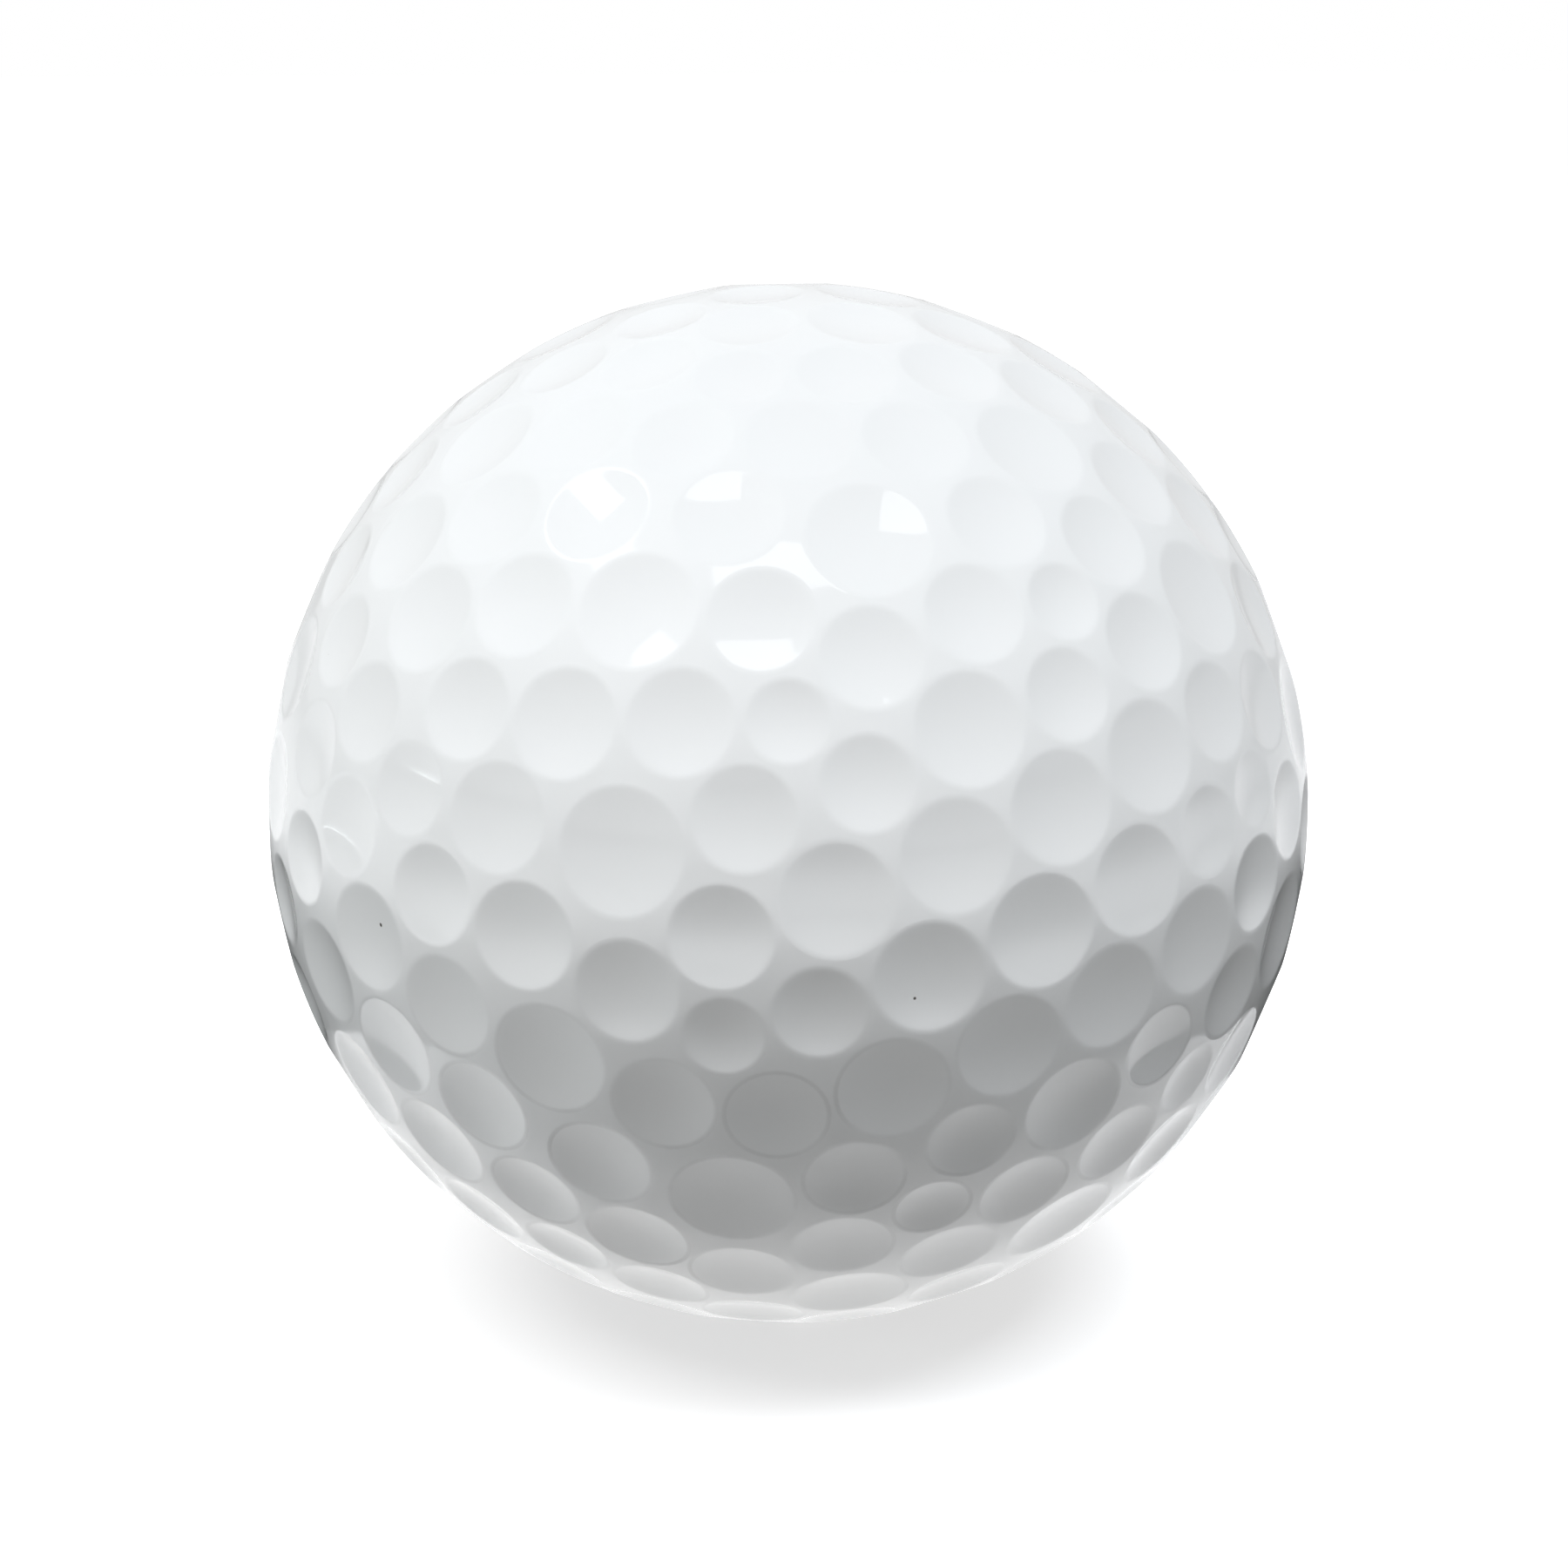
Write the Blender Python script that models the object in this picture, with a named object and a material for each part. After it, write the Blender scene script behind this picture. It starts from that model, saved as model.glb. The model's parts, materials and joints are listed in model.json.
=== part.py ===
"""Golf ball: a solid rubber core inside moulded half shells, under a dimpled cover. Metres, +Z up."""

import math

import bmesh
import bpy
import numpy as np
from mathutils import Matrix, Vector

MM = 0.001

# Driving dimensions
BALL_DIAMETER = 42.67 * MM
COVER_WALL = 1.30 * MM
MANTLE_WALL = 1.20 * MM
OUTER_CORE_WALL = 6.00 * MM
LAYER_GAP = 0.30 * MM  # between one layer and the next
SEAM_GAP = 0.30 * MM  # between the two halves of a layer
DIMPLE_DEPTH = 0.20 * MM  # from the plane of the rim to the bottom
LAND_WIDTH = 0.17 * MM  # least land between two dimples of one half
SEAM_LAND = 0.10 * MM  # least land between a dimple and its half's edge at the parting line

# The ball lies with its pole axis level: the front pole looks along -Y, and the parting plane stands upright
POLE_TILT = math.radians(90.0)
POLE_CLOCK = math.radians(-17.3)  # turn of the dimple pattern about the pole axis
BACK_TURN = math.radians(30.0)  # turn of the back half against the front half, so that their rows interlock

# Facets
RIM_SIDES = 9
BOWL_RING = 0.6  # where the bowl's middle ring lies between its bottom and its rim
SHELL_SIDES = 30
SHELL_RINGS = 6
SHARP_ANGLE = math.radians(35.0)  # faces that meet at more than this are shaded as an edge

# Dimples of one sixth of a half, ring by ring from the pole to the parting line: polar angle and
# azimuth to half a degree, and size against the other dimples. A dimple off the sector's two mirror
# planes stands on both sides of them.
SECTORS = 6
MIRROR_AZIMUTHS = (0.0, 30.0)
POLE_SIZE = 4.3
SECTOR_DIMPLES = (
    (12.0, 0.0, 4.2),
    (21.0, 30.0, 4.3),
    (23.0, 0.0, 3.5),
    (31.5, 19.0, 4.0),
    (32.5, 0.0, 3.1),
    (41.0, 9.5, 4.1),
    (42.0, 30.0, 4.6),
    (51.0, 0.0, 4.5),
    (51.5, 16.5, 4.2),
    (55.5, 30.0, 4.2),
    (62.0, 6.5, 4.2),
    (62.5, 19.5, 3.9),
    (67.0, 30.0, 3.6),
    (72.5, 0.0, 4.2),
    (72.5, 12.5, 4.3),
    (76.0, 24.0, 3.9),
    (83.0, 6.5, 4.3),
    (85.0, 30.0, 3.8),
    (85.5, 18.5, 3.8),
)

# Colour and roughness of each layer
INNER_RUBBER = ((0.62, 0.20, 0.07), 0.55)
OUTER_RUBBER = ((0.10, 0.30, 0.42), 0.55)
MANTLE_RESIN = ((0.62, 0.64, 0.60), 0.40)
COATED_WHITE = ((0.86, 0.88, 0.88), 0.22)

FRONT = 1
BACK = -1
HALF_NAMES = {FRONT: "front", BACK: "back"}

# Radii of the layers, from the outside in
BALL_RADIUS = BALL_DIAMETER / 2
COVER_INNER = BALL_RADIUS - COVER_WALL
MANTLE_OUTER = COVER_INNER - LAYER_GAP
MANTLE_INNER = MANTLE_OUTER - MANTLE_WALL
OUTER_CORE_OUTER = MANTLE_INNER - LAYER_GAP
OUTER_CORE_INNER = OUTER_CORE_OUTER - OUTER_CORE_WALL
INNER_CORE_RADIUS = OUTER_CORE_INNER - LAYER_GAP


def clear_scene():
    for obj in list(bpy.data.objects):
        bpy.data.objects.remove(obj, do_unlink=True)


def make_material(name, finish):
    colour, roughness = finish
    material = bpy.data.materials.new(name)
    material.use_nodes = True
    shader = material.node_tree.nodes["Principled BSDF"]
    shader.inputs["Base Color"].default_value = (*colour, 1.0)
    shader.inputs["Roughness"].default_value = roughness
    shader.inputs["Metallic"].default_value = 0.0
    return material


def add_object(bm, name, finish, ball):
    bmesh.ops.recalc_face_normals(bm, faces=bm.faces)
    mesh = bpy.data.meshes.new(name)
    bm.to_mesh(mesh)
    bm.free()
    mesh.shade_smooth()
    mesh.set_sharp_from_angle(angle=SHARP_ANGLE)
    mesh.materials.append(make_material(f"{name}_finish", finish))
    obj = bpy.data.objects.new(name, mesh)
    obj.parent = ball
    bpy.context.scene.collection.objects.link(obj)


def on_sphere(radius, polar, azimuth):
    level = radius * math.sin(polar)
    return Vector((level * math.cos(azimuth), level * math.sin(azimuth), radius * math.cos(polar)))


def half_dimples(half):
    """Direction and size of each dimple of one half."""
    dimples = [(Vector((0.0, 0.0, half)), POLE_SIZE)]
    turn = 0.0 if half == FRONT else BACK_TURN
    for polar, azimuth, size in SECTOR_DIMPLES:
        sides = (1,) if azimuth in MIRROR_AZIMUTHS else (1, -1)
        for sector in range(SECTORS):
            for side in sides:
                around = math.tau * sector / SECTORS + side * math.radians(azimuth) + turn
                direction = on_sphere(1.0, math.radians(polar), around)
                direction.z *= half
                dimples.append((direction, size))
    return dimples


def dimple_layout():
    """Direction, half and rim radius along the ball of every dimple: neighbours share the room by their sizes."""
    found = [(direction, size, half) for half in HALF_NAMES for direction, size in half_dimples(half)]
    directions = np.array([direction for direction, size, half in found])
    sizes = np.array([size for direction, size, half in found])
    halves = np.array([half for direction, size, half in found])
    apart = BALL_RADIUS * np.arccos(np.clip(directions @ directions.T, -1.0, 1.0))
    np.fill_diagonal(apart, math.inf)
    across_seam = SEAM_GAP + 2 * SEAM_LAND
    land = np.where(halves[:, None] == halves[None, :], LAND_WIDTH, across_seam)
    share = sizes[:, None] / (sizes[:, None] + sizes[None, :])
    radii = ((apart - land) * share).min(axis=1)
    return [(direction, half, float(radius)) for (direction, size, half), radius in zip(found, radii)]


def place_rim(bm, direction, arc_radius):
    """A ring of points where a dimple's rim meets the ball."""
    angle = arc_radius / BALL_RADIUS
    turn = direction.to_track_quat("Z", "Y").to_matrix().to_4x4()
    place = turn @ Matrix.Translation((0.0, 0.0, BALL_RADIUS * math.cos(angle)))
    ring = bmesh.ops.create_circle(
        bm, cap_ends=False, segments=RIM_SIDES, radius=BALL_RADIUS * math.sin(angle), matrix=place
    )
    return ring["verts"]


def split_at_parting_line(bm, half_of):
    """Cuts the land half way between the two halves' rims, and gives the cut's points."""
    crossing = [edge for edge in bm.edges if half_of[edge.verts[0]] != half_of[edge.verts[1]]]
    seam = [bmesh.utils.edge_split(edge, edge.verts[0], 0.5)[1] for edge in crossing]
    bmesh.ops.connect_verts(bm, verts=seam)
    return seam


def sink_bowls(bm, caps):
    """Presses each rim's flat cap into a round bowl."""
    bm.normal_update()
    floors = bmesh.ops.extrude_discrete_faces(bm, faces=caps)["faces"]
    ring_depth = DIMPLE_DEPTH * (1 - BOWL_RING**2)
    for floor in floors:
        centre = floor.calc_center_median()
        sink = floor.normal * ring_depth
        for vert in floor.verts:
            vert.co = centre + (vert.co - centre) * BOWL_RING - sink
    bmesh.ops.poke(bm, faces=floors, offset=ring_depth - DIMPLE_DEPTH, center_mode="MEAN")


def dimpled_skin(layout, half):
    """The outer surface of one half of the cover: rims joined by land, each dimple a bowl, open at the seam."""
    bm = bmesh.new()
    rim_of = {}
    half_of = {}
    for number, (direction, rim_half, arc_radius) in enumerate(layout):
        for vert in place_rim(bm, direction, arc_radius):
            rim_of[vert] = number
            half_of[vert] = rim_half
    bmesh.ops.convex_hull(bm, input=bm.verts)
    caps = [face for face in bm.faces if len({rim_of[vert] for vert in face.verts}) == 1]
    caps = bmesh.ops.dissolve_faces(bm, faces=caps, use_verts=False)["region"]
    seam = split_at_parting_line(bm, half_of)
    keep = {vert for vert, rim_half in half_of.items() if rim_half == half}
    other = [face for face in bm.faces if not keep.intersection(face.verts)]
    bmesh.ops.delete(bm, geom=other, context="FACES")
    for vert in seam:
        vert.co.z += half * SEAM_GAP / 2
        vert.co *= BALL_RADIUS / vert.co.length
    sink_bowls(bm, [cap for cap in caps if cap.is_valid])
    return bm


def dome_arc(radius, half, first_ring=0):
    """Points from the parting plane up to the pole of a dome."""
    start = math.acos(SEAM_GAP / 2 / radius)
    polars = [start * (1 - ring / SHELL_RINGS) for ring in range(first_ring, SHELL_RINGS + 1)]
    points = [on_sphere(radius, polar, 0.0) for polar in polars]
    return [Vector((point.x, 0.0, half * point.z)) for point in points]


def spin_profile(bm, points):
    """Turns a profile about the pole axis, closed at the points that lie on the axis."""
    verts = [bm.verts.new(point) for point in points]
    edges = [bm.edges.new(pair) for pair in zip(verts, verts[1:])]
    bmesh.ops.spin(
        bm,
        geom=verts + edges,
        cent=(0.0, 0.0, 0.0),
        axis=(0.0, 0.0, 1.0),
        angle=math.tau,
        steps=SHELL_SIDES,
        use_merge=True,
    )
    near = LAYER_GAP / SHELL_SIDES
    on_axis = [vert for vert in bm.verts if math.hypot(vert.co.x, vert.co.y) < near]
    bmesh.ops.remove_doubles(bm, verts=on_axis, dist=near)


def half_shell(outer_radius, inner_radius, half):
    bm = bmesh.new()
    outside = dome_arc(outer_radius, half)
    inside = dome_arc(inner_radius, half)
    spin_profile(bm, outside[::-1] + inside)
    return bm


def cover_half(layout, half):
    """A dimpled outside, a wall at the parting line and a smooth inside."""
    bm = dimpled_skin(layout, half)
    seam_edges = [edge for edge in bm.edges if edge.is_boundary]
    wall = bmesh.ops.extrude_edge_only(bm, edges=seam_edges)["geom"]
    height = half * SEAM_GAP / 2
    level = math.sqrt(COVER_INNER**2 - height**2)
    for vert in wall:
        if isinstance(vert, bmesh.types.BMVert):
            around = Vector((vert.co.x, vert.co.y)).normalized() * level
            vert.co = (around.x, around.y, height)
    spin_profile(bm, dome_arc(COVER_INNER, half, first_ring=1))
    open_edges = [edge for edge in bm.edges if edge.is_boundary]
    bmesh.ops.bridge_loops(bm, edges=open_edges)
    return bm


def inner_core():
    bm = bmesh.new()
    front = dome_arc(INNER_CORE_RADIUS, FRONT)
    back = dome_arc(INNER_CORE_RADIUS, BACK)
    spin_profile(bm, front[::-1] + back)
    return bm


def main():
    clear_scene()
    ball = bpy.data.objects.new("ball", None)
    ball.rotation_euler = (POLE_TILT, POLE_CLOCK, 0.0)
    bpy.context.scene.collection.objects.link(ball)

    add_object(inner_core(), "inner_core", INNER_RUBBER, ball)
    layout = dimple_layout()
    for half, side in HALF_NAMES.items():
        core_shell = half_shell(OUTER_CORE_OUTER, OUTER_CORE_INNER, half)
        mantle_shell = half_shell(MANTLE_OUTER, MANTLE_INNER, half)
        add_object(core_shell, f"outer_core_{side}_half", OUTER_RUBBER, ball)
        add_object(mantle_shell, f"mantle_{side}_half", MANTLE_RESIN, ball)
        add_object(cover_half(layout, half), f"cover_{side}_half", COATED_WHITE, ball)


main()
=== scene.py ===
import json
import math

import bmesh
import bpy
from mathutils import Euler, Matrix, Vector


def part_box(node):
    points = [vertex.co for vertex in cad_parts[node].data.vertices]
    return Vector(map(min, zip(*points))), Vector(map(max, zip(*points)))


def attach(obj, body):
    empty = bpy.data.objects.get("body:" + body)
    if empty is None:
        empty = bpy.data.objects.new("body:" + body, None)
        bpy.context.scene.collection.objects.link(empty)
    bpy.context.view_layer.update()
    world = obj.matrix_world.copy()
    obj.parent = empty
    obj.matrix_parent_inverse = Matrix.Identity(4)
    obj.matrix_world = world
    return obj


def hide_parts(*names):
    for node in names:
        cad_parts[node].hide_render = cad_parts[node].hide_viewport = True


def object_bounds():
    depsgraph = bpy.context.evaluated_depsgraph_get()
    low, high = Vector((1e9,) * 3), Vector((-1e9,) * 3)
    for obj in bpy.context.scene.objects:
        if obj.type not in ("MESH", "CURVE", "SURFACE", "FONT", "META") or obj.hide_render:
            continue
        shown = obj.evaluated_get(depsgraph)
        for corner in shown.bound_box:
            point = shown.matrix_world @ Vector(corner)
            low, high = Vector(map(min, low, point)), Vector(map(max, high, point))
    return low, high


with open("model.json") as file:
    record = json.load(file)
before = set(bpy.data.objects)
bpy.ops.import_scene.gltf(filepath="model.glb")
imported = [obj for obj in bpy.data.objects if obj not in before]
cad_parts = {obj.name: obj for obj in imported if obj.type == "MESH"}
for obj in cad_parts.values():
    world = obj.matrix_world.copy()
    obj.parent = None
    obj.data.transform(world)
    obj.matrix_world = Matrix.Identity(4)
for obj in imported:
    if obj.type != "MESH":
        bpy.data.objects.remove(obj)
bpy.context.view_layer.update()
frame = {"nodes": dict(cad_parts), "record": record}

mm = 0.001
nearZero = 0.001 * mm
front = 1  # the half with the pole that looks along -Y
back = -1
sideNames = {front: "Front", back: "Back"}
teeSeat = Vector(frame["record"]["mounts"][0]["pos_m"])  # the ball's lowest point
ballRadius = teeSeat.length
patternRoll = -17.3  # degrees that the dimples are turned round the pole
poleTurn = Euler((math.radians(90.0), math.radians(patternRoll), 0.0))  # lays the pole along -Y
sharpAngle = 50.0  # degrees between faces
print("frame:", len(frame["nodes"]), "solids, ball radius", round(ballRadius / mm, 3), "mm")


# small helpers

def onSphere(radius, polar, azimuth):
    level = radius * math.sin(polar)
    return Vector((level * math.cos(azimuth), level * math.sin(azimuth), radius * math.cos(polar)))


def aim(elevation, turn):  # unit vector from the ball: turn 0 is -Y, and a positive turn goes towards +X
    level = math.cos(math.radians(elevation))
    return Vector((level * math.sin(math.radians(turn)), -level * math.cos(math.radians(turn)),
                   math.sin(math.radians(elevation))))


def addObject(name, data):
    thing = bpy.data.objects.new(name, data)
    bpy.context.scene.collection.objects.link(thing)
    return thing


def meshObject(bm, name, material):
    mesh = bpy.data.meshes.new(name)
    bm.to_mesh(mesh)
    bm.free()
    mesh.materials.append(material)
    return addObject(name, mesh)


def ballPiece(bm, name, material, node):  # modelled with its pole along Z, and turned into place here
    bmesh.ops.transform(bm, matrix=poleTurn.to_matrix().to_4x4(), verts=bm.verts)
    bmesh.ops.recalc_face_normals(bm, faces=bm.faces)
    piece = meshObject(bm, name, material)
    piece.data.shade_smooth()
    piece.data.set_sharp_from_angle(angle=math.radians(sharpAngle))
    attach(piece, "root")
    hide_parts(node)
    return piece


def spinArc(bm, points, sides):  # turns an open profile round the Z axis and closes its ends on that axis
    verts = [bm.verts.new(point) for point in points]
    edges = [bm.edges.new(pair) for pair in zip(verts, verts[1:])]
    bmesh.ops.spin(bm, geom=verts + edges, cent=(0, 0, 0), axis=(0, 0, 1), angle=math.tau, steps=sides,
                   use_merge=True)
    onAxis = [vert for vert in bm.verts if vert.co.xy.length < nearZero]
    bmesh.ops.remove_doubles(bm, verts=onAxis, dist=nearZero)


def domeArc(radius, half, lip, rings, firstRing=0):  # from the parting plane up to the pole
    start = math.acos(lip / radius)
    arc = [onSphere(radius, start * (1 - ring / rings), 0.0) for ring in range(firstRing, rings + 1)]
    return [Vector((point.x, 0.0, half * point.z)) for point in arc]


# shader nodes

noiseSpan = (0.3, 0.7)  # most of a noise texture's values lie in here


class Nodes:  # adds nodes to one node tree
    def __init__(self, tree):
        self.tree = tree

    def add(self, kind, inputs=None, **settings):
        node = self.tree.nodes.new(kind)
        for key, value in settings.items():
            setattr(node, key, value)
        self.feed(node, inputs or {})
        return node

    def feed(self, node, inputs):  # a number or colour goes on the socket itself
        for key, value in inputs.items():
            if isinstance(value, bpy.types.NodeSocket):
                self.tree.links.new(value, node.inputs[key])
            else:
                node.inputs[key].default_value = value

    def place(self):
        return self.add("ShaderNodeTexCoord").outputs["Object"]

    def noise(self, place, scale, detail):
        node = self.add("ShaderNodeTexNoise", {"Vector": place, "Scale": scale, "Detail": detail})
        return node.outputs["Fac"]

    def calc(self, operation, first, second):
        return self.add("ShaderNodeMath", {0: first, 1: second}, operation=operation).outputs["Value"]

    def remap(self, value, low, high, toLow, toHigh):
        node = self.add("ShaderNodeMapRange", {
            "Value": value, "From Min": low, "From Max": high, "To Min": toLow, "To Max": toHigh})
        return node.outputs["Result"]

    def ramp(self, factor, low, high, lowColour, highColour):
        node = self.add("ShaderNodeValToRGB", {"Fac": factor})
        stops = zip(node.color_ramp.elements, (low, high), (lowColour, highColour))
        for element, position, colour in stops:
            element.position = position
            element.color = (*colour, 1.0)
        return node.outputs["Color"]

    def mix(self, factor, first, second):  # sockets 6 and 7 are the node's two colours
        node = self.add("ShaderNodeMix", {"Factor": factor, 6: first, 7: second}, data_type="RGBA")
        return node.outputs[2]

    def bump(self, height, strength, depth):
        node = self.add("ShaderNodeBump", {"Height": height, "Strength": strength, "Distance": depth})
        return node.outputs["Normal"]


def newMaterial(name):
    material = bpy.data.materials.new(name)
    material.use_nodes = True
    return material, Nodes(material.node_tree), material.node_tree.nodes["Principled BSDF"]


def grey(level):
    return (level, level, level, 1.0)


# dimple pattern

dimplePattern = {
    "sectors": 6,
    "mirrorAzimuths": (0.0, 30.0),  # degrees, where a dimple is its own mirror image
    "backTurn": 30.0,  # degrees, so that the rows of the two halves interlock
    "land": 0.012 * mm,  # least flat land between the rounded rims of one half
    "seamLand": 0.34 * mm,  # and across the parting line
    "poleSize": 4.3,  # of the dimple at the pole, against the others
    "sector": (  # polar angle, azimuth and size of the others, in one sixth of a half
        (12.0, 0.0, 4.2),
        (21.0, 30.0, 4.3),
        (23.0, 0.0, 3.5),
        (31.5, 19.0, 4.0),
        (32.5, 0.0, 3.1),
        (41.0, 9.5, 4.1),
        (42.0, 30.0, 4.6),
        (51.0, 0.0, 4.5),
        (51.5, 16.5, 4.2),
        (55.5, 30.0, 4.2),
        (62.0, 6.5, 4.2),
        (62.5, 19.5, 3.9),
        (67.0, 30.0, 3.6),
        (72.5, 0.0, 4.2),
        (72.5, 12.5, 4.3),
        (76.0, 24.0, 3.9),
        (83.0, 6.5, 4.3),
        (85.0, 30.0, 3.8),
        (85.5, 18.5, 3.8),
    ),
}


def halfDimples(half):
    dimples = [(Vector((0.0, 0.0, half)), dimplePattern["poleSize"], half)]
    turn = 0.0 if half == front else dimplePattern["backTurn"]
    for polar, azimuth, size in dimplePattern["sector"]:
        signs = (1,) if azimuth in dimplePattern["mirrorAzimuths"] else (1, -1)
        for sector in range(dimplePattern["sectors"]):
            for sign in signs:
                around = 360.0 * sector / dimplePattern["sectors"] + sign * azimuth + turn
                direction = onSphere(1.0, math.radians(polar), math.radians(around))
                direction.z *= half
                dimples.append((direction, size, half))
    return dimples


def dimpleLayout(radius):  # neighbours share the room between them by their sizes
    dimples = halfDimples(front) + halfDimples(back)
    layout = []
    for direction, size, half in dimples:
        room = []
        for other, otherSize, otherHalf in dimples:
            if other is not direction:
                land = dimplePattern["land"] if half == otherHalf else dimplePattern["seamLand"]
                room.append((radius * direction.angle(other) - land) * size / (size + otherSize))
        layout.append((direction, half, min(room)))
    return layout


# cover

coverShape = {
    "inset": 0.006 * mm,  # keeps the skin just inside its solid
    "wall": 1.30 * mm,
    "depth": 0.165 * mm,  # of a bowl below the plane of its rim
    "rimRound": 0.26 * mm,  # width in which the land rounds over into a bowl
    "guard": 0.004 * mm,  # strip of plain land kept round each rim and along the parting line
    "rimSides": 36,
    "rimSteps": (0.0, 0.33, 0.67, 1.0),  # rings across the rounded rim
    "bowlSteps": (0.9, 0.6, 0.3),  # rings across the bowl
    "seamWaves": {6: -1.5, 30: -1.25},  # degrees that the parting line weaves, by waves in one round
    "seamSides": 360,
    "insideSides": 72,
    "insideRings": 18,
}
skinRadius = ballRadius - coverShape["inset"]


# how far the surface lies below the ball, at a share of the way from a dimple's middle to its rim
def bowlDrop(arc, share):
    total = skinRadius * (1 - math.cos(arc / skinRadius)) + coverShape["depth"]
    rim = coverShape["rimRound"] / arc
    slope = 2 * total / (1 - rim)
    if share > 1 - rim:
        return slope * (1 - rim) * (1 - share) ** 2 / (2 * rim)
    return total - slope * share ** 2 / 2


def ringShares(arc):
    rim = coverShape["rimRound"] / arc
    shares = [1 - rim * step for step in coverShape["rimSteps"]]
    return shares + [(1 - rim) * step for step in coverShape["bowlSteps"]]


def flatten(point, half):  # lays the half out on a plane, where circles stay circles
    return Vector((point.x, point.y, 0.0)) * 2 * skinRadius / (skinRadius + half * point.z)


def wrap(point, half):  # and back on the ball
    spread = point.length_squared / (2 * skinRadius) ** 2
    flat = point / (1 + spread)
    return Vector((flat.x, flat.y, half * skinRadius * (1 - spread) / (1 + spread)))


def addRim(bm, direction, arc, arcLayer):
    angle = (arc + coverShape["guard"]) / skinRadius
    turn = direction.to_track_quat("Z", "Y").to_matrix().to_4x4()
    place = turn @ Matrix.Translation((0.0, 0.0, skinRadius * math.cos(angle)))
    ring = bmesh.ops.create_circle(bm, cap_ends=True, segments=coverShape["rimSides"],
                                   radius=skinRadius * math.sin(angle), matrix=place)
    cap = ring["verts"][0].link_faces[0]
    cap[arcLayer] = arc
    return cap


def seamPoint(around, half, strip):  # on the parting line, or a strip's width inside it
    wave = sum(height * math.cos(waves * around) for waves, height in coverShape["seamWaves"].items())
    return onSphere(skinRadius, math.radians(90.0 + wave) - half * strip / skinRadius, around)


def addSeam(bm, half):
    ring = bmesh.ops.create_circle(bm, cap_ends=False, segments=coverShape["seamSides"], radius=skinRadius)
    for vert in ring["verts"]:
        vert.co = seamPoint(math.atan2(vert.co.y, vert.co.x), half, coverShape["guard"])
    return [edge for edge in bm.edges if edge.is_wire]  # the edges of a rim carry its cap


def extrudeEdges(bm, edges):
    made = bmesh.ops.extrude_edge_only(bm, edges=edges)["geom"]
    newVerts = [item for item in made if isinstance(item, bmesh.types.BMVert)]
    newEdges = [item for item in made if isinstance(item, bmesh.types.BMEdge)]
    return newVerts, newEdges


def sinkBowls(bm, floors, arcLayer, rimLayer):
    rimEnd = len(coverShape["rimSteps"]) - 1
    steps = rimEnd + 1 + len(coverShape["bowlSteps"])
    for step in range(steps):
        floors = bmesh.ops.extrude_discrete_faces(bm, faces=floors)["faces"]
        for floor in floors:
            arc = floor[arcLayer]
            share = ringShares(arc)[step]
            axis = floor.calc_center_median().normalized()
            angle = share * arc / skinRadius
            reach = skinRadius - bowlDrop(arc, share)
            for vert in floor.verts:
                side = (vert.co - axis * vert.co.dot(axis)).normalized()
                vert.co = (axis * math.cos(angle) + side * math.sin(angle)) * reach
                vert[rimLayer] = 0 < step < rimEnd  # 1 on the rounded rim, and 0 elsewhere
    for middle in bmesh.ops.poke(bm, faces=floors)["verts"]:
        arc = middle.link_faces[0][arcLayer]
        middle.co = middle.co.normalized() * (skinRadius - bowlDrop(arc, 0.0))


def closeInside(bm, half, seam):  # the wall at the parting line and the smooth inside
    inner = ballRadius - coverShape["wall"]
    wallVerts, rim = extrudeEdges(bm, seam)
    for vert in wallVerts:
        vert.co = Vector((vert.co.x, vert.co.y, 0.0)).normalized() * inner
    arc = domeArc(inner, half, 0.0, coverShape["insideRings"], firstRing=1)
    spinArc(bm, arc, coverShape["insideSides"])
    dome = [edge for edge in bm.edges if edge.is_boundary and edge not in rim]
    bmesh.ops.bridge_loops(bm, edges=rim + dome)


def coverHalf(layout, half):
    bm = bmesh.new()
    arcLayer = bm.faces.layers.float.new("arc")
    rimLayer = bm.verts.layers.float.new("rim")  # the finish reads it
    caps = [addRim(bm, direction, arc, arcLayer) for direction, side, arc in layout if side == half]
    rims = [edge for cap in caps for edge in cap.edges]
    seam = addSeam(bm, half)
    # the land between the rims is filled in flat, and then wrapped on the ball
    for vert in bm.verts:
        vert.co = flatten(vert.co, half)
    bmesh.ops.triangle_fill(bm, use_beauty=True, edges=rims + seam, normal=(0.0, 0.0, 1.0))
    for vert in bm.verts:
        vert.co = wrap(vert.co, half)
    lineVerts, line = extrudeEdges(bm, seam)
    for vert in lineVerts:
        vert.co = seamPoint(math.atan2(vert.co.y, vert.co.x), half, 0.0)
    sinkBowls(bm, caps, arcLayer, rimLayer)
    closeInside(bm, half, line)
    return bm


coatedWhiteLook = {
    "white": (0.876, 0.888, 0.884),
    "shade": (0.858, 0.871, 0.867),
    "mottle": 140.0,  # patches to the metre
    "paintRoughness": (0.30, 0.38),
    "paintSpecular": 0.2,
    "coatRoughness": 0.035,
    "peel": {"grain": 1500.0, "strength": 0.03, "depth": 0.02 * mm},  # grains to the metre
    "paintedShade": 0.26,  # share of painted shade drawn as dark lines along the rims, on the underside
    "shadeBetweenRims": 0.12,  # and of fainter painted shade between them, against the rims
    "shadeHeights": (-0.1, -0.4),  # ball radii, where the painted shade sets in and where it is full
    "shadePatches": 170.0,  # to the metre
    "patchSpan": (0.42, 0.68),  # noise values where a patch sets in and where it is full
    "speck": (0.10, 0.09, 0.08),  # also the colour of the painted shade
    "speckCells": 400.0,  # to the metre
    "speckShare": 0.15,  # of the cells
    "speckEdge": (0.028, 0.036),  # of a cell's width, where a speck fades out
}


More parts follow.
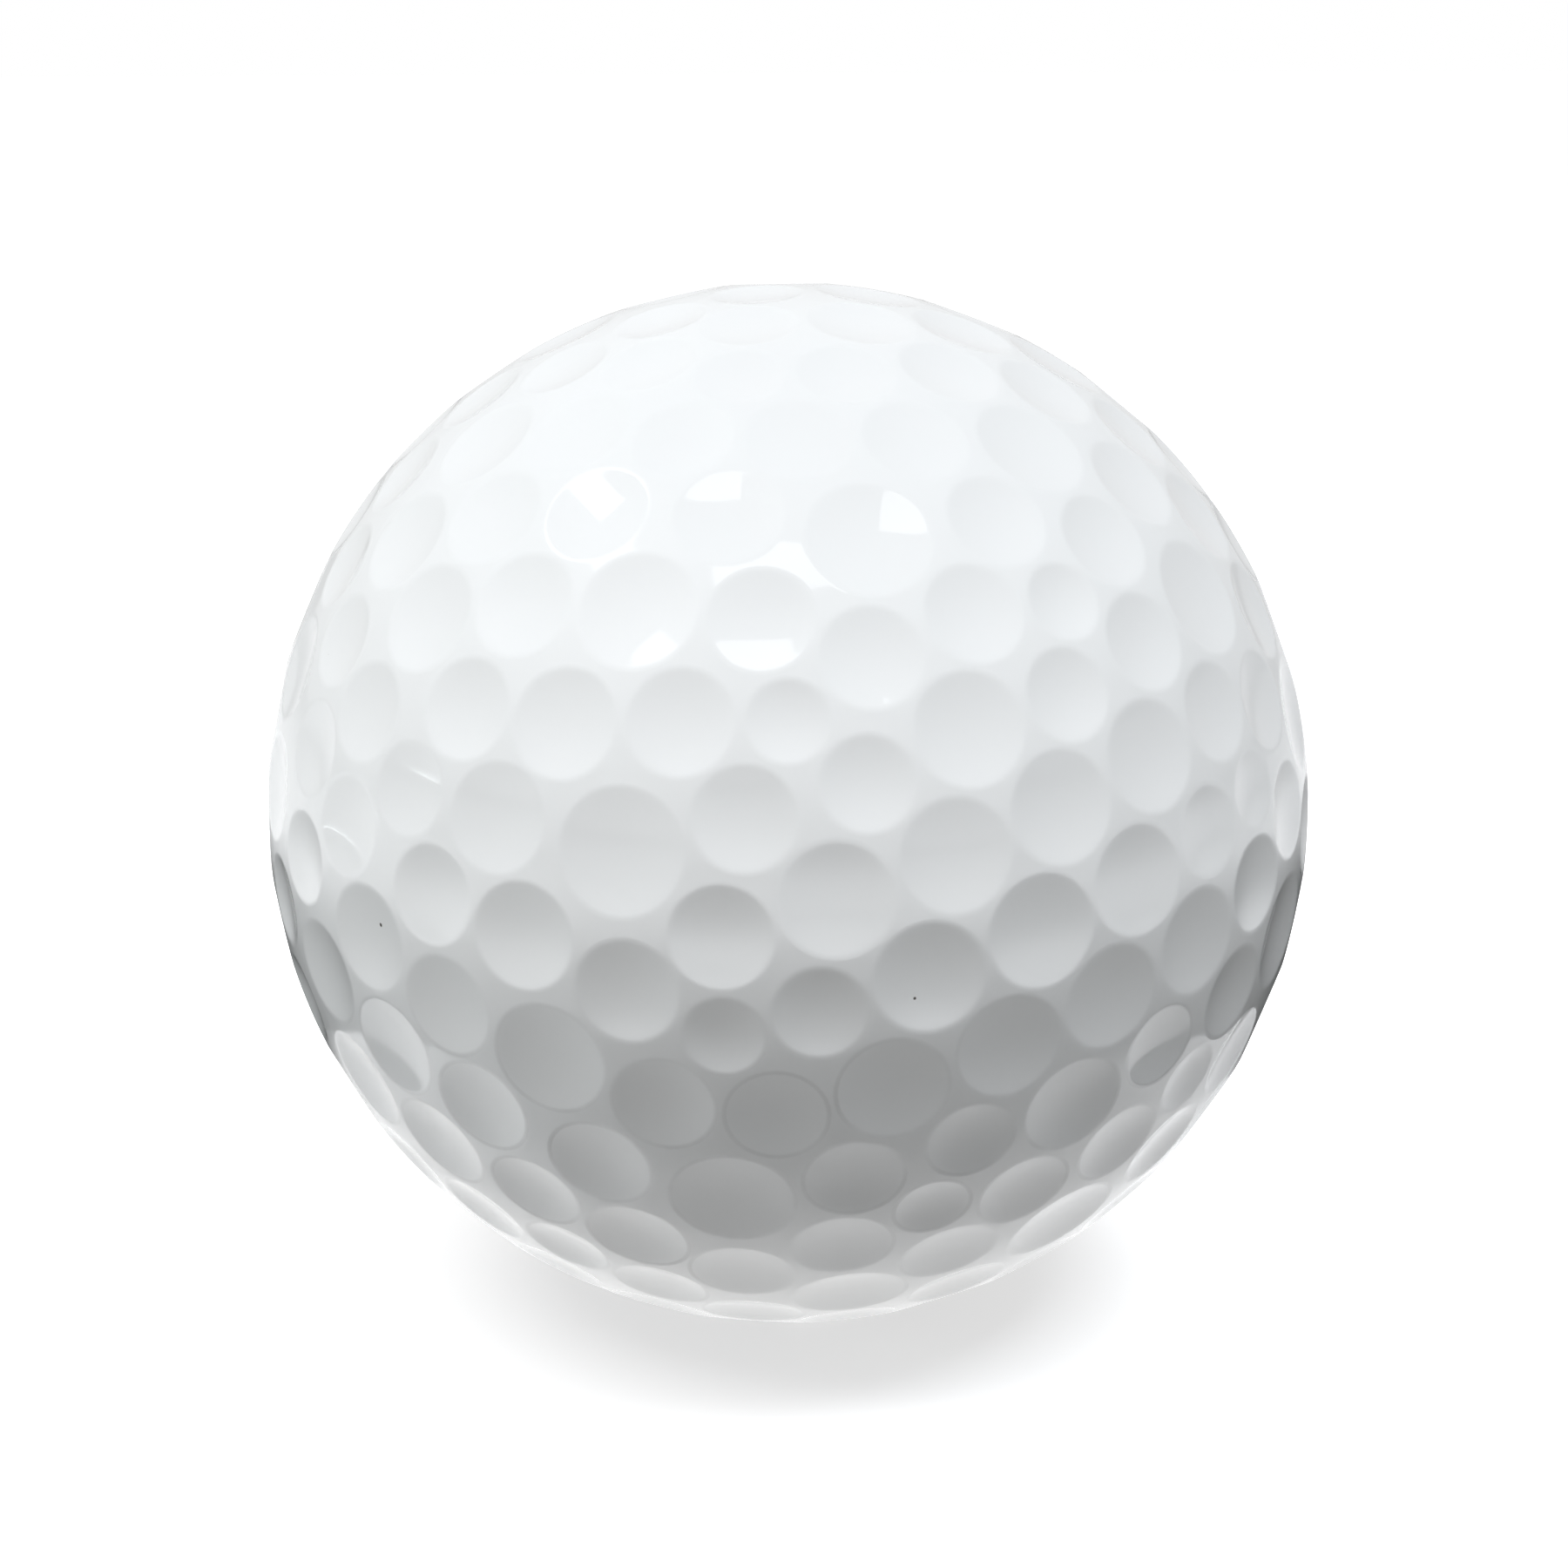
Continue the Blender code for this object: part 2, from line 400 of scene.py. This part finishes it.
def coatedWhite():
    look = coatedWhiteLook
    material, nodes, shader = newMaterial("coatedWhite")
    place = nodes.place()
    speckAndShadeColour = (*look["speck"], 1.0)
    mottle = nodes.noise(place, look["mottle"], detail=4.0)
    paint = nodes.ramp(mottle, 0.0, 1.0, look["shade"], look["white"])
    # painted shade on the underside: dark lines along the rims and faint patches between them, darker
    # towards the bottom
    rim = nodes.add("ShaderNodeAttribute", attribute_name="rim").outputs["Fac"]
    height = nodes.add("ShaderNodeSeparateXYZ", {"Vector": place}).outputs["Z"]
    start, full = [radii * skinRadius for radii in look["shadeHeights"]]
    under = nodes.remap(height, start, full, 0.0, look["paintedShade"])
    patches = nodes.noise(place, look["shadePatches"], detail=6.0)
    patchy = nodes.remap(patches, *look["patchSpan"], 0.0, 1.0)
    line = nodes.calc("MAXIMUM", rim, look["shadeBetweenRims"])
    # painted shade: darker at the rims and in faint patches, on the underside only
    paintedShadeMask = nodes.calc("MULTIPLY", nodes.calc("MULTIPLY", line, under), patchy)
    paint = nodes.mix(paintedShadeMask, paint, speckAndShadeColour)
    # a speck in a few of the cells
    cells = nodes.add("ShaderNodeTexVoronoi", {"Vector": place, "Scale": look["speckCells"]})
    speck = nodes.remap(cells.outputs["Distance"], *look["speckEdge"], 1.0, 0.0)
    draw = nodes.add("ShaderNodeSeparateColor", {"Color": cells.outputs["Color"]}).outputs["Red"]
    chosen = nodes.calc("LESS_THAN", draw, look["speckShare"])
    paint = nodes.mix(nodes.calc("MULTIPLY", speck, chosen), paint, speckAndShadeColour)
    peel = nodes.noise(place, look["peel"]["grain"], detail=2.0)
    nodes.feed(shader, {
        "Base Color": paint,
        "Roughness": nodes.remap(mottle, *noiseSpan, *look["paintRoughness"]),
        "Specular IOR Level": look["paintSpecular"],
        "Coat Weight": 1.0,
        "Coat Roughness": look["coatRoughness"],
        "Normal": nodes.bump(peel, look["peel"]["strength"], look["peel"]["depth"]),
    })
    return material


ballLayout = dimpleLayout(skinRadius)
coverFinish = coatedWhite()
for half, side in sideNames.items():
    node = f"cover_{side.lower()}_half"
    cover = ballPiece(coverHalf(ballLayout, half), f"cover{side}", coverFinish, node)
    print(f"cover{side}:", len(cover.data.vertices), "points,", len(cover.data.polygons), "faces")


# inner layers

layerLooks = {  # two tones of the moulded stuff, its grain to the metre and its roughness
    "inner_rubber": {
        "tones": ((0.53, 0.15, 0.05), (0.68, 0.25, 0.09)),
        "grain": 900.0,
        "roughness": (0.55, 0.75),
    },
    "outer_rubber": {
        "tones": ((0.08, 0.25, 0.36), (0.13, 0.36, 0.48)),
        "grain": 900.0,
        "roughness": (0.55, 0.75),
    },
    "mantle_resin": {
        "tones": ((0.57, 0.59, 0.55), (0.67, 0.69, 0.65)),
        "grain": 400.0,
        "roughness": (0.35, 0.50),
    },
}
layerGrain = {
    "toneSpan": (0.35, 0.65),  # noise values of the two tones
    "strength": 0.2,
    "depth": 0.03 * mm,
}
layerShape = {
    "halves": {
        "outerCore": {"node": "outer_core", "slot": "outer_rubber", "wall": 6.00 * mm},
        "mantle": {"node": "mantle", "slot": "mantle_resin", "wall": 1.20 * mm},
    },
    "lip": 0.15 * mm,  # from the parting plane
    "lipRound": 0.10 * mm,
    "sides": 64,
    "rings": 16,
}


def mouldedLayer(slot):
    look = layerLooks[slot]
    material, nodes, shader = newMaterial(slot)
    grain = nodes.noise(nodes.place(), look["grain"], detail=5.0)
    nodes.feed(shader, {
        "Base Color": nodes.ramp(grain, *layerGrain["toneSpan"], *look["tones"]),
        "Roughness": nodes.remap(grain, *noiseSpan, *look["roughness"]),
        "Normal": nodes.bump(grain, layerGrain["strength"], layerGrain["depth"]),
    })
    return material


def isLipEdge(edge):  # one that runs round the mouth of a half, outside or inside
    start, end = [vert.co for vert in edge.verts]
    level = all(abs(abs(point.z) - layerShape["lip"]) < nearZero for point in (start, end))
    return level and abs(start.xy.length - end.xy.length) < nearZero


def layerHalf(outer, wall, half):
    bm = bmesh.new()
    outside = domeArc(outer, half, layerShape["lip"], layerShape["rings"])
    inside = domeArc(outer - wall, half, layerShape["lip"], layerShape["rings"])
    spinArc(bm, outside[::-1] + inside, layerShape["sides"])
    bmesh.ops.bevel(bm, geom=[edge for edge in bm.edges if isLipEdge(edge)], offset=layerShape["lipRound"],
                    offset_type="OFFSET", affect="EDGES", segments=2, profile=0.5, material=-1)
    return bm


layerFinish = {slot: mouldedLayer(slot) for slot in layerLooks}
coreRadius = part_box("inner_core")[1].y
coreMesh = bmesh.new()
bmesh.ops.create_uvsphere(coreMesh, u_segments=layerShape["sides"], v_segments=2 * layerShape["rings"],
                          radius=coreRadius)
ballPiece(coreMesh, "innerCore", layerFinish["inner_rubber"], "inner_core")
print("innerCore:", round(2 * coreRadius / mm, 2), "mm across")
for layer, build in layerShape["halves"].items():
    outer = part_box(f"{build['node']}_back_half")[1].y
    for half, side in sideNames.items():
        node = f"{build['node']}_{side.lower()}_half"
        halfMesh = layerHalf(outer, build["wall"], half)
        ballPiece(halfMesh, f"{layer}{side}", layerFinish[build["slot"]], node)
    print(f"{layer}:", round(2 * outer / mm, 2), "mm across")


# camera

shot = {
    "elevation": 13.74,  # degrees
    "turn": -25.13,
    "distance": 6.0,  # ball radii
    "frameWidth": 1800.0,  # pixels
    "ballWidth": 1195.0,
    "ballCentre": (904.5, 921.0),
    "clipStart": 1.0 * mm,
}


def addCamera():
    lens = bpy.data.cameras.new("camera")
    focal = shot["ballWidth"] / 2 * math.sqrt(shot["distance"] ** 2 - 1)  # pixels
    lens.lens = lens.sensor_width * focal / shot["frameWidth"]
    lens.shift_x = 0.5 - shot["ballCentre"][0] / shot["frameWidth"]
    lens.shift_y = shot["ballCentre"][1] / shot["frameWidth"] - 0.5
    lens.clip_start = shot["clipStart"]
    camera = addObject("camera", lens)
    direction = aim(shot["elevation"], shot["turn"])
    camera.location = direction * shot["distance"] * ballRadius
    camera.rotation_euler = direction.to_track_quat("Z", "Y").to_euler()
    bpy.context.scene.camera = camera


addCamera()
bpy.context.scene.view_settings.view_transform = "Standard"
print("camera:", shot["distance"], "ball radii away")


# stage

stageSet = {  # places are in ball radii from where the ball stands
    "floorReach": 6.0,  # metres
    "floorPale": 0.80,  # seen colour of the floor, on which the shadow falls
    "floorBounce": 0.06,  # what the floor gives back to the ball
    "glow": (0.66, 1.0),  # seen strength of the floor, lowered under the ball as a painted contact shadow, and farther out
    "paintedShadowReach": (0.0, 2.5),
    "mirrorGlow": (0.98, 0.55),  # the same as the gloss mirrors it
    "mirrorReach": (0.85, 1.35),
    "tableRings": ((0.02, 1.0, 0.75), (3.0, 6.0, 1.95)),  # reach and strength of the light from below
    "darkEdge": {"side": (1.69, 1.73), "front": (1.05, 1.85)},  # where the dark round the table sets in
    "darkSides": (0.75, 0.93),  # how far sideways, of 1, the front edge turns into the side one
    "darkFade": (3.5, 5.4),  # where the dark fades out
    "darkShift": 0.4,  # by which that lies to the right
    "darkShare": 0.97,  # of full dark
    "darkTone": 0.01,
    "darkLift": 0.3 * mm,  # over the floor
    "tableLift": 0.6 * mm,
    "ringSides": 64,
}


def pictureRays(nodes):  # the rays that show the backdrop itself: seen, mirrored or through glass
    path = nodes.add("ShaderNodeLightPath").outputs
    seen = nodes.calc("MAXIMUM", path["Is Camera Ray"], path["Is Glossy Ray"])
    return nodes.calc("MAXIMUM", seen, path["Is Transmission Ray"])


def bareMaterial(name):  # with nothing on its output yet
    material, nodes, shader = newMaterial(name)
    nodes.tree.nodes.remove(shader)
    return material, nodes, nodes.tree.nodes["Material Output"]


def ringFinish(name, strength):  # shines up only, so that the floor keeps its shadow
    material, nodes, output = bareMaterial(name)
    under = nodes.add("ShaderNodeNewGeometry").outputs["Backfacing"]
    upward = nodes.remap(under, 0.0, 1.0, strength, 0.0)
    glow = nodes.add("ShaderNodeEmission", {"Strength": upward}).outputs["Emission"]
    nodes.feed(output, {"Surface": glow})
    return material


def radiiAway(nodes, centre=teeSeat):  # how far a point of the floor lies from a centre
    inputs = {0: nodes.place(), 1: centre}
    away = nodes.add("ShaderNodeVectorMath", inputs, operation="DISTANCE").outputs["Value"]
    return nodes.calc("DIVIDE", away, ballRadius)


def floorFinish():
    material, nodes, output = bareMaterial("paleFloor")
    away = radiiAway(nodes)
    # painted shadow: the seen glow is lower close to the ball
    seen = nodes.remap(away, *stageSet["paintedShadowReach"], *stageSet["glow"])
    mirrored = nodes.remap(away, *stageSet["mirrorReach"], *stageSet["mirrorGlow"])
    glossy = nodes.add("ShaderNodeLightPath").outputs["Is Glossy Ray"]
    strength = nodes.remap(glossy, 0.0, 1.0, seen, mirrored)
    glow = nodes.add("ShaderNodeEmission", {"Strength": strength}).outputs["Emission"]
    pale = nodes.add("ShaderNodeBsdfDiffuse", {"Color": grey(stageSet["floorPale"])}).outputs["BSDF"]
    dull = nodes.add("ShaderNodeBsdfDiffuse", {"Color": grey(stageSet["floorBounce"])}).outputs["BSDF"]
    white = nodes.add("ShaderNodeAddShader", {0: glow, 1: pale}).outputs["Shader"]
    mix = nodes.add("ShaderNodeMixShader", {0: pictureRays(nodes), 1: dull, 2: white}).outputs["Shader"]
    nodes.feed(output, {"Surface": mix})
    return material


def darkFinish():
    material, nodes, shader = newMaterial("darkRing")
    right = aim(0.0, shot["turn"] + 90.0)
    inputs = {0: nodes.place(), 1: right / ballRadius}
    across = nodes.add("ShaderNodeVectorMath", inputs, operation="DOT_PRODUCT").outputs["Value"]
    away = radiiAway(nodes)
    sideways = nodes.calc("DIVIDE", nodes.calc("ABSOLUTE", across, 0.0), away)
    side = nodes.remap(sideways, *stageSet["darkSides"], 0.0, 1.0)
    edges = zip(stageSet["darkEdge"]["front"], stageSet["darkEdge"]["side"])
    start, full = [nodes.remap(side, 0.0, 1.0, *reach) for reach in edges]
    near = nodes.remap(away, start, full, 0.0, stageSet["darkShare"])
    shifted = radiiAway(nodes, teeSeat + right * stageSet["darkShift"] * ballRadius)
    far = nodes.remap(shifted, *stageSet["darkFade"], 1.0, 0.0)
    nodes.feed(shader, {
        "Base Color": grey(stageSet["darkTone"]),
        "Roughness": 1.0,
        "Specular IOR Level": 0.0,
        "Alpha": nodes.calc("MULTIPLY", near, far),
    })
    return material


def stagePiece(bm, name, material):
    piece = meshObject(bm, name, material)
    return piece


def floorRing(inner, outer, level):  # a flat ring that faces up
    bm = bmesh.new()
    spinArc(bm, [(reach * ballRadius, 0.0, level) for reach in (inner, outer)], stageSet["ringSides"])
    bm.normal_update()
    bmesh.ops.reverse_faces(bm, faces=[face for face in bm.faces if face.normal.z < 0])
    return bm


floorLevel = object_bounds()[0].z
floorMesh = bmesh.new()
bmesh.ops.create_grid(floorMesh, x_segments=1, y_segments=1, size=stageSet["floorReach"],
                      matrix=Matrix.Translation((0.0, 0.0, floorLevel)))
stagePiece(floorMesh, "floor", floorFinish())

darkMesh = floorRing(stageSet["darkEdge"]["front"][0], stageSet["darkFade"][1] + stageSet["darkShift"],
                     floorLevel + stageSet["darkLift"])
dark = stagePiece(darkMesh, "darkRing", darkFinish())
dark.visible_camera = False
dark.visible_shadow = False

for number, (inner, outer, strength) in enumerate(stageSet["tableRings"]):
    name = f"tableRing{number}"
    ringMesh = floorRing(inner, outer, floorLevel + stageSet["tableLift"])
    ring = stagePiece(ringMesh, name, ringFinish(name, strength))
    ring.visible_camera = False
    ring.visible_glossy = False
    ring.visible_shadow = False
print("floor at", round(floorLevel / mm, 3), "mm")


# light

lightSet = {
    "distance": 0.45,  # metres
    "room": 0.02,  # strength with which the room lights the ball
    "mirroredRoom": (0.80, 1.0),  # as the gloss mirrors it, level with the ball and overhead
    "overhead": 40.0,  # degrees
    "boxes": {  # elevation, turn, size, power, tint, and whether the gloss mirrors it
        "leftBox": (53.0, -75.0, (0.20, 0.20), 1.01, (0.985, 0.990, 1.000), False),
        "rightBox": (60.0, 31.0, (0.20, 0.20), 1.22, (0.925, 0.958, 1.000), False),
        "lowBox": (2.0, -120.0, (0.12, 0.06), 0.50, (0.910, 0.975, 1.000), False),
        "frontStrip": (63.0, -27.0, (0.21, 0.075), 0.108, (0.963, 0.970, 1.000), True),
        "leftStrip": (55.0, -98.0, (0.15, 0.065), 0.063, (0.963, 0.970, 1.000), True),
    },
}


def softbox(name, elevation, turn, size, power, tint, mirrored):
    lamp = bpy.data.lights.new(name, "AREA")
    lamp.shape = "RECTANGLE"
    lamp.size, lamp.size_y = size
    lamp.energy = power
    lamp.color = tint
    light = addObject(name, lamp)
    direction = aim(elevation, turn)
    light.location = direction * lightSet["distance"]
    light.rotation_euler = direction.to_track_quat("Z", "Y").to_euler()
    light.visible_camera = False
    light.visible_glossy = mirrored


def roomWorld():
    world = bpy.data.worlds.new("room")
    bpy.context.scene.world = world
    world.use_nodes = True
    nodes = Nodes(world.node_tree)
    direction = nodes.add("ShaderNodeTexCoord").outputs["Generated"]
    height = nodes.add("ShaderNodeSeparateXYZ", {"Vector": direction}).outputs["Z"]
    top = math.sin(math.radians(lightSet["overhead"]))
    mirrored = nodes.remap(height, 0.0, top, *lightSet["mirroredRoom"])
    glossy = nodes.add("ShaderNodeLightPath").outputs["Is Glossy Ray"]
    seen = nodes.remap(glossy, 0.0, 1.0, 1.0, mirrored)
    strength = nodes.remap(pictureRays(nodes), 0.0, 1.0, lightSet["room"], seen)
    nodes.feed(world.node_tree.nodes["Background"], {"Color": grey(1.0), "Strength": strength})


roomWorld()
for name, box in lightSet["boxes"].items():
    softbox(name, *box)
print("light:", len(lightSet["boxes"]), "softboxes")
